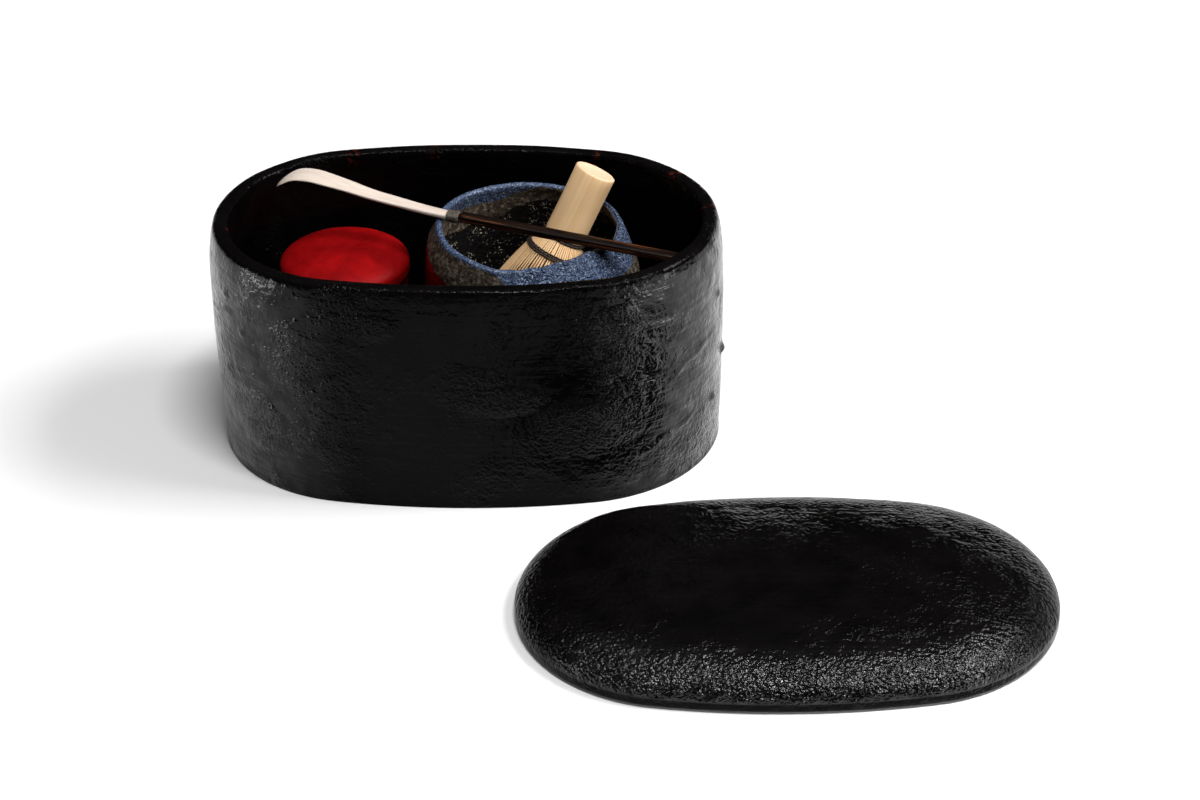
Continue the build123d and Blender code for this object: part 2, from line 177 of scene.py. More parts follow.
def capped(rings):
    """(points, faces) of a bar through rings, closed at both ends."""
    points, faces = grid(rings)
    count = len(rings[0])
    cap(points, faces, 0, count)
    cap(points, faces, (len(rings) - 1) * count, count, flip=True)
    return points, faces


def placed(name, data):
    """A new object of the scene."""
    thing = bpy.data.objects.new(name, data)
    bpy.context.scene.collection.objects.link(thing)
    return thing


def piece(name, points, faces, material, body, replaced, flat=False, attributes=None):
    """A mesh object from millimetre points, riding on a body."""
    mesh = bpy.data.meshes.new(name)
    mesh.from_pydata([p * MM for p in points], [], faces)
    mesh.validate()
    for key, values in (attributes or {}).items():
        layer = mesh.attributes.new(key, "FLOAT_COLOR", "POINT")
        for index, value in enumerate(values):
            layer.data[index].color = (*value, 1.0)
    mesh.shade_flat() if flat else mesh.shade_smooth()
    mesh.materials.append(material.material)
    thing = placed(name, mesh)
    weld(mesh)
    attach(thing, body)
    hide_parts(*replaced)
    return thing


def weld(mesh):
    """Joins points that lie on each other and turns all faces outwards."""
    shape = bmesh.new()
    shape.from_mesh(mesh)
    bmesh.ops.remove_doubles(shape, verts=shape.verts, dist=0.00001)
    bmesh.ops.dissolve_degenerate(shape, edges=shape.edges, dist=0.000001)
    bmesh.ops.recalc_face_normals(shape, faces=shape.faces)
    shape.to_mesh(mesh)
    shape.free()


def tube(path, radius, sides, closed=False):
    """(points, faces) of a round tube along a path of points."""
    rings = []
    count = len(path)
    side = None
    for k, here in enumerate(path):
        ahead = path[(k + 1) % count] if closed else path[min(k + 1, count - 1)]
        behind = path[k - 1] if closed or k else path[0]
        along = (ahead - behind).normalized()
        if side is None:
            side = along.orthogonal().normalized()
        side = (side - along * side.dot(along)).normalized()
        other = along.cross(side)
        turns = [2 * math.pi * j / sides for j in range(sides)]
        rings.append([here + (side * math.cos(turn) + other * math.sin(turn)) * radius for turn in turns])
    return grid(rings + rings[:1]) if closed else capped(rings)


def joined(parts):
    """Several (points, faces) pairs as one."""
    points, faces = [], []
    for more_points, more_faces in parts:
        start = len(points)
        points += more_points
        faces += [tuple(index + start for index in face) for face in more_faces]
    return points, faces


def lathe(profile, origin, axis, start, count):
    """Rings of a profile of (radius, height) turned about an axis; start is the direction of angle 0."""
    other = axis.cross(start)
    return [
        [
            origin + axis * height
            + (start * math.cos(2 * math.pi * k / count) + other * math.sin(2 * math.pi * k / count)) * radius
            for k in range(count)
        ]
        for radius, height in profile
    ]


def rounded(corner, before, after, radius, steps=5):
    """Points of a round arris at a corner of a profile, between its two neighbours."""
    corner, before, after = Vector(corner), Vector(before), Vector(after)
    start = corner + (before - corner).normalized() * radius
    end = corner + (after - corner).normalized() * radius
    result = []
    for k in range(steps + 1):
        t = k / steps
        point = start * (1 - t) ** 2 + corner * 2 * t * (1 - t) + end * t**2
        result.append((point.x, point.y))
    return result


def run(start, end, step):
    """Points along a straight stretch of a profile, without its end."""
    start, end = Vector(start), Vector(end)
    count = max(1, round((end - start).length / step))
    return [tuple(start.lerp(end, k / count)) for k in range(count)]


# ------------------------ the oval outline

HALF_LENGTH = BOX_LENGTH / 2
HALF_WIDTH = BOX_WIDTH / 2
HEIGHT = corners("box_wall")[1].z
END_CENTRE = HALF_LENGTH - END_RADIUS
SIDE_RADIUS = (END_CENTRE**2 + HALF_WIDTH**2 - END_RADIUS**2) / (2 * (HALF_WIDTH - END_RADIUS))
SIDE_CENTRE = SIDE_RADIUS - HALF_WIDTH
TURN = math.atan2(SIDE_CENTRE, END_CENTRE)
FLOOR_TOP = corners("box_floor_board")[1].z


def outline(count):
    """Evenly spaced points of the rim's four-arc outline with their outward normals, in plan."""
    arcs = [
        (END_CENTRE, 0, END_RADIUS, 0, TURN),
        (0, -SIDE_CENTRE, SIDE_RADIUS, TURN, math.pi - TURN),
        (-END_CENTRE, 0, END_RADIUS, math.pi - TURN, math.pi + TURN),
        (0, SIDE_CENTRE, SIDE_RADIUS, math.pi + TURN, 2 * math.pi - TURN),
        (END_CENTRE, 0, END_RADIUS, 2 * math.pi - TURN, 2 * math.pi),
    ]
    lengths = [radius * (stop - start) for _, _, radius, start, stop in arcs]
    result = []
    for k in range(count):
        way = sum(lengths) * k / count
        arc = 0
        while way > lengths[arc]:
            way -= lengths[arc]
            arc += 1
        x, y, radius, start, _ = arcs[arc]
        normal = heading(start + way / radius)
        result.append((Vector((x, y, 0)) + normal * radius, normal))
    return result


# ------------------------ materials

class Graph:
    """An emptied node tree, with short calls for its nodes and links."""

    def __init__(self, tree):
        self.tree = tree
        tree.nodes.clear()

    def node(self, kind, inputs=None, **settings):
        """A new node, its settings made and its inputs fed by name or number."""
        made = self.tree.nodes.new(kind)
        for key, value in settings.items():
            setattr(made, key, value)
        for key, value in (inputs or {}).items():
            self.feed(made.inputs[key], value)
        return made

    def feed(self, socket, value):
        if isinstance(value, bpy.types.NodeSocket):
            self.tree.links.new(value, socket)
        else:
            socket.default_value = value

    def sum(self, first, second, operation="ADD"):
        return self.node("ShaderNodeMath", {0: first, 1: second}, operation=operation).outputs[0]

    def times(self, first, second):
        return self.sum(first, second, "MULTIPLY")

    def ramp(self, value, *stops):
        made = self.node("ShaderNodeValToRGB", {"Fac": value})
        elements = made.color_ramp.elements
        while len(elements) < len(stops):
            elements.new(0.5)
        for element, (position, colour) in zip(elements, stops):
            element.position = position
            grey = isinstance(colour, (int, float))
            element.color = (colour, colour, colour, 1) if grey else (*colour, 1)
        return made.outputs["Color"]


class Finish(Graph):
    """A node material on one Principled shader, with short calls for the textures that feed it."""

    def __init__(self, name, slot):
        self.material = bpy.data.materials.new(name)
        self.material.use_nodes = True
        super().__init__(self.material.node_tree)
        self.slot = slot
        self.shader = self.node("ShaderNodeBsdfPrincipled")
        self.node("ShaderNodeOutputMaterial", {"Surface": self.shader.outputs[0]})
        self.place = self.node("ShaderNodeTexCoord").outputs["Object"]

    def set(self, **values):
        for key, value in values.items():
            self.feed(self.shader.inputs[key.replace("_", " ")], value)

    def mapped(self, vector, turn, scale, kind="POINT"):
        inputs = {"Vector": vector, "Rotation": turn, "Scale": scale}
        return self.node("ShaderNodeMapping", inputs, vector_type=kind).outputs[0]

    def stretched(self, scale, turn=(0, 0, 0), vector=None):
        """The place, or a vector, stretched first and turned after."""
        return self.mapped(vector or self.place, turn, scale)

    def grain(self, scale, turn):
        """The place, turned back into a piece's own direction first and stretched after."""
        return self.stretched(scale, vector=self.mapped(self.place, turn, (1, 1, 1), "TEXTURE"))

    def noise(self, scale, detail=4.0, roughness=0.5, distortion=0.0, vector=None):
        inputs = {"Scale": scale, "Detail": detail, "Roughness": roughness, "Distortion": distortion}
        inputs["Vector"] = vector or self.place
        return self.node("ShaderNodeTexNoise", inputs).outputs["Fac"]

    def cells(self, scale):
        """Distance to the nearest of scattered points."""
        return self.node("ShaderNodeTexVoronoi", {"Vector": self.place, "Scale": scale}).outputs["Distance"]

    def mix(self, factor, first, second):
        inputs = {0: factor, 6: first, 7: second}
        for key in (6, 7):
            if not isinstance(inputs[key], bpy.types.NodeSocket):
                inputs[key] = (*inputs[key], 1)
        return self.node("ShaderNodeMix", inputs, data_type="RGBA").outputs[2]

    def painted(self, name):
        """The red, green and blue channels of a painted attribute."""
        made = self.node("ShaderNodeAttribute", attribute_name=name)
        return self.node("ShaderNodeSeparateColor", {0: made.outputs["Color"]}).outputs

    def bump(self, height, distance, under=None):
        inputs = {"Distance": distance, "Height": height}
        if under:
            inputs["Normal"] = under
        return self.node("ShaderNodeBump", inputs).outputs[0]


def black_lacquer(name, streaks):
    """Black lacquer over cloth: lumps, brush streaks, pits that glint, wear and polish where painted."""
    finish = Finish(name, "black_lacquer")
    wear, polish, pitted = finish.painted("surface")[:3]
    patches = finish.ramp(finish.noise(24, 5, 0.6), (0.48, 0.03), (0.66, 0.7))
    patches = finish.sum(patches, pitted, "MAXIMUM")
    wrinkles = finish.noise(270, 2, 0.5, 0.8)
    pits = finish.noise(640, 1, 0.5)
    brushed = finish.noise(1, 2, 0.5, 0.3, finish.stretched(streaks))
    base = finish.ramp(finish.noise(60, 4), (0.3, (0.001, 0.0008, 0.0008)), (0.75, (0.0026, 0.0021, 0.0021)))
    spots = finish.ramp(finish.noise(420, 4, 0.6), (0.5, 0), (0.58, 1))
    base = finish.mix(finish.times(wear, spots), base, (0.04, 0.006, 0.004))
    height = finish.bump(brushed, 0.0003)
    height = finish.bump(finish.times(wrinkles, finish.sum(patches, 0.3)), 0.0013, height)
    height = finish.bump(finish.times(pits, patches), 0.0017, height)
    finish.set(
        Base_Color=base,
        Roughness=finish.ramp(finish.noise(210, 5, 0.6), (0.3, 0.12), (0.75, 0.26)),
        IOR=1.13,
        Coat_Weight=finish.times(polish, finish.ramp(finish.noise(120, 3), (0.3, 0.35), (0.7, 1))),
        Coat_Roughness=0.14,
        Coat_IOR=1.45,
        Coat_Normal=height,
        Normal=height,
    )
    return finish


def inner_lacquer():
    """The duller lacquer inside, with a breath of red."""
    finish = Finish("inner_lacquer", "inner_lacquer")
    height = finish.bump(finish.noise(420, 2, 0.5, 0.6), 0.0009)
    finish.set(
        Base_Color=finish.ramp(
            finish.noise(35, 5), (0.35, (0.001, 0.0008, 0.0008)), (0.8, (0.004, 0.0015, 0.0015))
        ),
        Roughness=finish.ramp(finish.noise(180, 4), (0.3, 0.16), (0.8, 0.4)),
        IOR=1.12,
        Normal=height,
    )
    return finish


def red_lacquer():
    """Rubbed vermilion lacquer, mottled, with fine scratches."""
    finish = Finish("red_lacquer", "red_lacquer")
    mottled = finish.noise(75, 6, 0.6, 0.5)
    scratches = finish.noise(1, 3, 0.5, 0.2, finish.stretched((90, 1500, 300), (0, 0, 0.6)))
    base = finish.ramp(mottled, (0.3, (0.16, 0.0008, 0.0016)), (0.7, (0.28, 0.0026, 0.0034)))
    dark = finish.ramp(finish.noise(520, 3, 0.6), (0.66, 0), (0.72, 1))
    height = finish.bump(finish.noise(160, 5, 0.55), 0.00018)
    height = finish.bump(scratches, 0.00006, height)
    finish.set(
        Base_Color=finish.mix(finish.times(dark, 0.7), base, (0.05, 0.002, 0.002)),
        Roughness=finish.ramp(finish.noise(260, 5), (0.3, 0.4), (0.75, 0.6)),
        IOR=1.14,
        Normal=height,
    )
    return finish


def bowl_glaze():
    """Speckled blue over rough olive over glossy red, and a black inside strewn with painted glints (pale
    specks in its colour), as painted.
    """
    finish = Finish("bowl_glaze", "bowl_glaze")
    blue_part, olive_part, red_part = finish.painted("glaze")[:3]
    ripple_part, inside_part = finish.painted("zones")[:2]
    edge = finish.times(finish.sum(finish.noise(190, 5, 0.65), -0.5), 0.9)

    def split(part):
        return finish.ramp(finish.sum(part, edge), (0.44, 0), (0.56, 1))

    speckle = finish.noise(1100, 3, 0.6)
    blue = finish.ramp(
        speckle, (0.36, (0.014, 0.026, 0.064)), (0.54, (0.05, 0.075, 0.135)), (0.72, (0.24, 0.28, 0.35))
    )
    olive = finish.ramp(
        finish.noise(420, 6, 0.7),
        (0.36, (0.012, 0.009, 0.006)), (0.5, (0.05, 0.038, 0.027)), (0.66, (0.17, 0.14, 0.1)),
    )
    red = finish.ramp(finish.noise(70, 3), (0.3, (0.05, 0.0005, 0.0005)), (0.7, (0.13, 0.001, 0.001)))
    # Painted glints: pale specks put into the base colour of the black inside, in patches, stand in for light
    # glinting off the glaze.
    painted_glints = finish.ramp(finish.cells(850), (0.2, 1), (0.3, 0))
    painted_glint_patches = finish.ramp(finish.noise(130, 4, 0.6), (0.47, 0), (0.56, 1))
    painted_glitter = finish.times(painted_glints, painted_glint_patches)
    black = finish.mix(painted_glitter, (0.003, 0.003, 0.0035), (0.5, 0.46, 0.36))
    base = finish.mix(split(red_part), black, red)
    base = finish.mix(split(olive_part), base, olive)
    base = finish.mix(split(blue_part), base, blue)
    ripples = finish.noise(170, 1, 0.5, 4.0)
    height = finish.bump(finish.noise(700, 1, 0.5), 0.00035)
    height = finish.bump(finish.times(ripples, ripple_part), 0.003, height)
    height = finish.bump(finish.times(finish.noise(380, 2, 0.5), inside_part), 0.001, height)
    height = finish.bump(finish.times(finish.noise(330, 3, 0.6), split(olive_part)), 0.0012, height)
    rough = finish.mix(split(red_part), (0.42,) * 3, (0.09,) * 3)
    rough = finish.mix(split(olive_part), rough, (0.62,) * 3)
    rough = finish.mix(split(blue_part), rough, (0.24,) * 3)
    finish.set(Base_Color=base, Roughness=rough, IOR=1.36, Normal=height)
    return finish


def bare_clay():
    """The unglazed clay of the bowl's foot."""
    finish = Finish("bare_clay", "bowl_glaze")
    finish.set(
        Base_Color=finish.ramp(finish.noise(500, 5), (0.3, (0.09, 0.045, 0.028)), (0.7, (0.19, 0.1, 0.062))),
        Roughness=finish.ramp(finish.noise(300, 4), (0.3, 0.75), (0.7, 0.95)),
        Normal=finish.bump(finish.noise(900, 5), 0.0003),
    )
    return finish


WHISK_TURN = (0, WHISK_LEAN, WHISK_HEADING)


def bamboo(name, pale, deep, fibre):
    """Split bamboo: fine fibres along the whisk."""
    finish = Finish(name, "bamboo")
    fibres = finish.noise(1, 5, 0.6, 0.0, finish.grain((900, 900, 16), WHISK_TURN))
    clouds = finish.noise(55, 3)
    tone = finish.sum(finish.times(fibres, 0.7), finish.times(clouds, 0.3))
    finish.set(
        Base_Color=finish.ramp(tone, (0.36, deep), (0.62, pale)),
        Roughness=finish.ramp(fibres, (0.3, 0.42), (0.7, 0.6)),
        IOR=1.42,
        Normal=finish.bump(fibres, fibre),
    )
    return finish


def dark_thread(name, colour, turn, scale):
    """Waxed dark cord with a twist."""
    finish = Finish(name, "dark_thread")
    twist = finish.noise(1, 3, 0.6, 0.4, finish.grain(scale, turn))
    pale = tuple(channel * 3.2 for channel in colour)
    finish.set(
        Base_Color=finish.ramp(twist, (0.35, colour), (0.7, pale)),
        Roughness=finish.ramp(twist, (0.3, 0.38), (0.7, 0.6)),
        IOR=1.4,
        Normal=finish.bump(twist, 0.00025),
    )
    return finish


SCOOP_TURN = (0, RIM_TILT, SCOOP_HEADING)


def ebony():
    """Dark wood with brown and orange streaks along it."""
    finish = Finish("ebony", "ebony")
    streaks = finish.noise(1, 6, 0.62, 0.5, finish.grain((14, 420, 420), SCOOP_TURN))
    fine = finish.noise(1, 3, 0.6, 0.2, finish.grain((60, 1700, 1700), SCOOP_TURN))
    base = finish.ramp(
        streaks,
        (0.42, (0.003, 0.0018, 0.0014)), (0.52, (0.012, 0.005, 0.003)), (0.58, (0.13, 0.04, 0.012)),
        (0.65, (0.016, 0.006, 0.003)),
    )
    height = finish.bump(fine, 0.00012)
    finish.set(
        Base_Color=base,
        Roughness=finish.ramp(fine, (0.3, 0.26), (0.7, 0.42)),
        IOR=1.22,
        Normal=finish.bump(streaks, 0.0002, height),
    )
    return finish


def pale_blade():
    """Polished pale blade with a faint grain."""
    finish = Finish("pale_blade", "pale_blade")
    grain = finish.noise(1, 4, 0.5, 0.3, finish.grain((30, 500, 500), SCOOP_TURN))
    finish.set(
        Base_Color=finish.ramp(grain, (0.3, (0.54, 0.44, 0.37)), (0.7, (0.66, 0.58, 0.51))),
        Roughness=finish.ramp(finish.noise(220, 4), (0.3, 0.3), (0.75, 0.42)),
        IOR=1.45,
        Subsurface_Weight=0.12,
        Subsurface_Radius=(0.002, 0.0014, 0.001),
        Normal=finish.bump(grain, 0.00008),
    )
    return finish


box_finish = black_lacquer("box_lacquer", (16, 16, 420))
lid_finish = black_lacquer("lid_lacquer", (14, 380, 120))
inner_finish = inner_lacquer()
red_finish = red_lacquer()
glaze_finish = bowl_glaze()
clay_finish = bare_clay()
bamboo_finish = bamboo("bamboo", (0.94, 0.65, 0.36), (0.84, 0.52, 0.26), 0.00007)
bamboo_end = bamboo("bamboo_end", (0.9, 0.56, 0.38), (0.8, 0.44, 0.28), 0.00005)
thread_finish = dark_thread("whisk_thread", (0.012, 0.007, 0.005), WHISK_TURN, (900, 900, 500))
cord_finish = dark_thread("binding_cord", (0.035, 0.029, 0.022), SCOOP_TURN, (700, 900, 900))
ebony_finish = ebony()
blade_finish = pale_blade()

# ------------------------ box

BOX_COLUMNS = 640
ROW_STEP = 1.3
BOX_LAYERS = (24, 0.225), (10, 0.125), (4.5, 0.05)
BOX_LAYERS_LOW = 0.4
INSIDE_LUMPS = 0.35
# How much of a clear coat the round ends of the box and the near side of the lid have.
POLISH = 0.8
# Lumps in the lacquer: place on the outline in degrees round the box, height, radius and how proud.
BOX_LUMPS = [
    (-4.5, 49, 2.6, 1.6), (-12, 31, 2.2, 1.2), (-146, 44, 2.8, 1.1), (-143, 40, 1.6, 0.8),
    (-154, 80, 2.0, 0.7), (-9, 84, 2.0, 0.9), (-134, 52, 1.8, 0.6), (-150, 22, 2.0, 0.8),
    (-99, 3.5, 2.4, 0.5), (-160, 95, 2.2, 0.8),
]
# Ridges of the cloth under the lacquer: from and to, in the same terms.
RIDGES = [
    ((-144, 47), (-127, 72)), ((-158, 58), (-146, 60)), ((-140, 92), (-118, 84)), ((-132, 33), (-108, 26)),
    ((-46, 96), (-22, 88)), ((-30, 60), (-12, 70)), ((-38, 24), (-20, 34)), ((-172, 78), (-156, 88)),
]
RIDGE_HEIGHT = 0.6
# Where the rim is worn to the red underneath: degrees round the box, and how far to each side.
WORN_PLACES = [(131, 2.0), (104.6, 1.8), (48.3, 0.9), (24.2, 1.6), (4.5, 1.2), (-172, 0.8)]
# Where the lacquer is pitted: degrees and height, reach along and up.
PITTED_PLACES = [
    (-122, 97, 24, 9), (-76, 60, 30, 10), (-44, 94, 14, 12), (-52, 42, 26, 18), (-150, 36, 14, 18),
]
# Millimetres along the outline for a degree round the box, as a mean.
DEGREE = HALF_LENGTH * math.pi / 180 * 0.75


def box_relief(point, angle):
    """How far the outside of the box stands out from its true surface, which only lumps do."""
    relief = lumpy(point, *BOX_LAYERS) - BOX_LAYERS_LOW
    for place, height, radius, proud in BOX_LUMPS:
        away = math.hypot((angle - place) * DEGREE, point.z - height)
        relief += proud * (1 - smooth(away, 0.2 * radius, radius * 1.3))
    for (a, low), (b, high) in RIDGES:
        if a < angle < b:
            t = (angle - a) / (b - a)
            line = low + (high - low) * t + 2.5 * noise.noise(point / 11)
            bank = smooth(point.z, line - 3.5, line) * (1 - smooth(point.z, line, line + 0.8))
            relief += RIDGE_HEIGHT * bank * min(1, 6 * t, 6 * (1 - t))
    return relief


def pitted_at(angle, height):
    """How pitted the outside is at a place, 0 to 1."""
    most = 0
    for place, level, along, up in PITTED_PLACES:
        reach = math.hypot((angle - place) * DEGREE / along, (height - level) / up)
        most = max(most, 1 - smooth(reach, 0.4, 1.1))
    return most


def box_profile():
    """(inset, height) up the outside, over the rim and down the inside, with the rows where the rim lies."""
    outer_top, inner_top = (0, HEIGHT), (WALL, HEIGHT)
    inner_low = (WALL - INSIDE_FLARE * (HEIGHT - FLOOR_TOP) / HEIGHT, FLOOR_TOP)
    rim = rounded(outer_top, (-1.9, 109), inner_top, RIM_ROUND, 7)
    points = rounded((-SWELL[0][1], 0), (WALL, 0), (-SWELL[1][1], 30), BASE_ROUND, 4)
    height = points[-1][1] + ROW_STEP
    while height < rim[0][1] - 0.5:
        points.append((-through(SWELL, height), height))
        height += ROW_STEP
    rim_start = len(points)
    points += rim
    points += run(points[-1], rounded(inner_top, outer_top, inner_low, RIM_ROUND)[0], 1.0)[1:]
    points += rounded(inner_top, outer_top, inner_low, RIM_ROUND, 7)
    rim_end = len(points)
    points += run(points[-1], inner_low, 2.6)[1:] + [inner_low]
    points = [(WALL - 3, 0)] + points + [(inner_low[0] - 3, FLOOR_TOP - 0.2)]
    return points, rim_start, rim_end


def build_box():
    """The wall: a lumpy lacquered oval, worn along its rim."""
    profile, rim_start, rim_end = box_profile()
    around = outline(BOX_COLUMNS)
    rings, surface = [], []
    for row, (inset, height) in enumerate(profile):
        ring = []
        for place, normal in around:
            angle = math.degrees(math.atan2(place.y, place.x))
            point = place - normal * inset + Vector((0, 0, height))
            outside = 1 - smooth(row, rim_start - 3, rim_start + 4)
            wave = noise.noise(Vector((place.x / 30, place.y / 30, 3.1)))
            point -= normal * (WALL / 2 - inset) * 0.06 * (wave + 0.4) * (1 - outside)
            point.z -= (0.25 - 0.45 * wave) * smooth(row, rim_start - 4, rim_start + 2) * (
                1 - smooth(row, rim_end - 2, rim_end + 3)
            ) + 0.2
            point.z = max(point.z, 0)
            relief = box_relief(point, angle) * outside * smooth(height, 0, 3)
            inside = smooth(row, rim_end - 4, rim_end + 2)
            relief -= inside * INSIDE_LUMPS * noise.noise(point / 9)
            ring.append(point + normal * relief)
            rim = smooth(row, rim_start - 1, rim_start + 3) * (1 - smooth(row, rim_end, rim_end + 2))
            wear = max(1 - smooth(abs(angle - place), reach / 2, reach) for place, reach in WORN_PLACES)
            polish = POLISH * smooth(abs(place.x), 50, 100) * outside
            surface.append((rim * wear, polish, pitted_at(angle, height) * outside))
        rings.append(ring)
    piece("box_shell", *grid(rings), box_finish, "box", ["box_wall"], attributes={"surface": surface})


# ------------------------ lid

LID_COLUMNS = 480
LID_ROWS = 74
LID_LAYERS = (26, 0.28), (9, 0.124), (4, 0.056)
LID_LAYERS_LOW = 0.315
LID_CROWN = 0.2
LID_PITTED = 0.6


def lid_top_height(inset, edge, top):
    """Height of the dome's outside over the edge: a quarter ellipse."""
    u = min(1.0, (inset + LID_OVERHANG) / (LID_SHOULDER + LID_OVERHANG))
    return edge + (top - edge) * math.sqrt(1 - (1 - u) ** 2)


def build_lid():
    """The domed lid, a closed shell: over the top, round the edge and back up under the dome."""
    low, high = corners("lid_dome")
    centre = centre_of("lid_dome")
    along, across = heading(LID_YAW), heading(LID_YAW + math.pi / 2)
    around = outline(LID_COLUMNS)
    edge = low.z + LID_BAND
    top = high.z - 0.25
    under_top = top - LID_THICKNESS
    origin = Vector((centre.x, centre.y, 0))
    rings, surface = [], []

    def plan(place, normal, inset):
        """A point of the outline drawn in by inset; past the shoulder it closes on the lid's middle line."""
        near = place - normal * min(inset, LID_SHOULDER)
        if inset > LID_SHOULDER:
            middle = Vector((near.x * END_CENTRE / (HALF_LENGTH - LID_SHOULDER), 0, 0))
            near = near.lerp(middle, (inset - LID_SHOULDER) / (HALF_WIDTH - LID_SHOULDER))
        return near

    profile = []
    reach = HALF_WIDTH + LID_OVERHANG
    for k in range(LID_ROWS + 1):
        inset = reach * (1 - k / LID_ROWS) ** 1.6 - LID_OVERHANG
        crown = LID_CROWN * smooth(inset, LID_SHOULDER, HALF_WIDTH)
        profile.append((inset, lid_top_height(inset, edge, top) + crown))
    outer_count = len(profile)
    profile += [
        (-LID_OVERHANG, edge - 0.9), (-LID_OVERHANG, low.z), (-LID_OVERHANG, low.z - LID_SKIRT + 0.5),
        (0.5 - LID_OVERHANG, low.z - LID_SKIRT), (1.2 - LID_OVERHANG, low.z - LID_SKIRT),
        (1.7 - LID_OVERHANG, low.z - 0.3), (2.0 - LID_OVERHANG, low.z), (4.5, low.z), (LID_LAND, low.z),
    ]
    land_count = len(profile)
    for k in range(1, 27):
        inset = LID_LAND + (HALF_WIDTH - LID_LAND) * (k / 26) ** 1.5
        u = min(1.0, (inset - LID_LAND) / (LID_SHOULDER - LID_LAND))
        profile.append((inset, low.z + (under_top - low.z) * math.sqrt(1 - (1 - u) ** 2)))
    for row, (inset, height) in enumerate(profile):
        ring = []
        for place, normal in around:
            flat = plan(place, normal, inset)
            point = flat + Vector((0, 0, height))
            if row < outer_count:
                slope = 1 - smooth(inset, 0, 26)
                out = (normal * slope + Vector((0, 0, 1 - 0.5 * slope))).normalized()
                relief = lumpy(point, *LID_LAYERS) - LID_LAYERS_LOW
                point += out * relief * smooth(height, edge - 1, edge + 3)
            elif row >= land_count:
                point.z += 0.3 * noise.noise(point / 12)
            ring.append(origin + along * point.x + across * point.y + Vector((0, 0, point.z)))
            band = (1 - smooth(inset, 10, 24)) * float(row < outer_count)
            near = smooth(-place.y, 35, 62)
            surface.append((0, POLISH * band * near, LID_PITTED * band))
        rings.append(ring)
    piece("lid_shell", *grid(rings), lid_finish, "lid", ["lid_dome"], attributes={"surface": surface})


# ------------------------ caddy

CADDY_SIDE = 5.0
CADDY_THICKNESS = 2.2


def build_caddy():
    """The caddy's domed lid; its body keeps its CAD shape."""
    low, high = corners("caddy_lid")
    centre = centre_of("caddy_lid")
    radius = (high.x - low.x) / 2
    side_top = low.z + CADDY_SIDE
    rise = high.z - side_top
    profile = [(radius - CADDY_THICKNESS, low.z), (radius - 0.5, low.z), (radius - 0.1, low.z + 0.5)]
    profile += [(radius, low.z + 0.5 + k * 1.1) for k in range(1, 4)]
    for k in range(30):
        angle = math.pi / 2 * k / 29
        across = radius * math.cos(angle) ** 0.86 if k < 29 else 0.01
        profile.append((across, side_top + rise * math.sin(angle)))
    profile.reverse()
    bore = radius - CADDY_THICKNESS
    profile += [(bore, low.z + 2), (bore, side_top)]
    for k in range(1, 14):
        angle = math.pi / 2 * k / 13
        height = side_top + (rise - CADDY_THICKNESS) * math.sin(angle)
        profile.append((max(0.01, bore * math.cos(angle)), height))
    rings = lathe(profile, Vector((centre.x, centre.y, 0)), Vector((0, 0, 1)), Vector((1, 0, 0)), 180)
    for ring in rings[:36]:
        for point in ring:
            point.z -= 0.12 + 0.14 * noise.noise(point / 14)
    piece("caddy_dome", *grid(rings), red_finish, "caddy_lid", ["caddy_lid"])


# ------------------------ tea bowl

BOWL_COLUMNS = 300
BOWL_FOOT = 27.0
BOWL_FOOT_INNER = 22.0
BOWL_FOOT_HEIGHT = 5.0
BOWL_BOTTOM = 8.5
BELLY_WALL = 4.8
BELLY_HEIGHT = 58.0
OUTER_CORNER = 19.0
INNER_CORNER = 25.0
# How far the lip folds in, by place round the bowl in degrees.
LIP_FOLD = [(-112, 0), (-100, 3), (-88, 8), (-66, 12.6), (-36, 13.4), (-8, 5.6), (20, 2.6), (48, 0)]
FOLD_DEPTH = 27.0
LIP_ROUND = 1.6
# How far down inside the blue runs, and how wide the olive band under it is, by place in degrees.
INNER_BLUE = [
    (-180, 1.6), (-110, 1.2), (60, 0.8), (88, 1.4), (102, 4.8), (116, 8.5), (142, 8), (160, 3), (180, 1.6),
]
INNER_OLIVE = [(-180, 16), (40, 7), (85, 9), (125, 12), (160, 16), (180, 16)]
# How far the wall stands out of round at the left.
LEFT_BULGE = 2.2

bowl_low, bowl_high = corners("tea_bowl")
bowl_centre = centre_of("tea_bowl")
bowl_centre.z = bowl_low.z
BELLY = (bowl_high.x - bowl_low.x) / 2
rim_centre = bowl_centre + Vector((0, 0, BOWL_RIM_HEIGHT))
fall = heading(SCOOP_HEADING) * math.cos(RIM_TILT) - Vector((0, 0, math.sin(RIM_TILT)))
scoop_across = heading(SCOOP_HEADING + math.pi / 2)
rim_up = fall.cross(scoop_across)


def rim_height(angle):
    """Height of the rim over the bowl's underside at an angle round it, with a little unevenness."""
    drop = BOWL_RIM_RADIUS * math.cos(angle - SCOOP_HEADING) * math.tan(RIM_TILT)
    uneven = 0.35 * math.sin(2 * angle + 1.1) + 0.25 * math.sin(5 * angle)
    return BOWL_RIM_HEIGHT - drop + uneven - 0.45


def wall_lean(height, rim, fold):
    """How far the wall has leant in at a height, with the fold of its lip."""
    u = max(0.0, (height - BELLY_HEIGHT) / (rim - BELLY_HEIGHT))
    folded = fold * smooth(height, rim - FOLD_DEPTH, rim + 4) ** 1.3
    return (BELLY - BOWL_RIM_RADIUS) * u**2.2 + folded


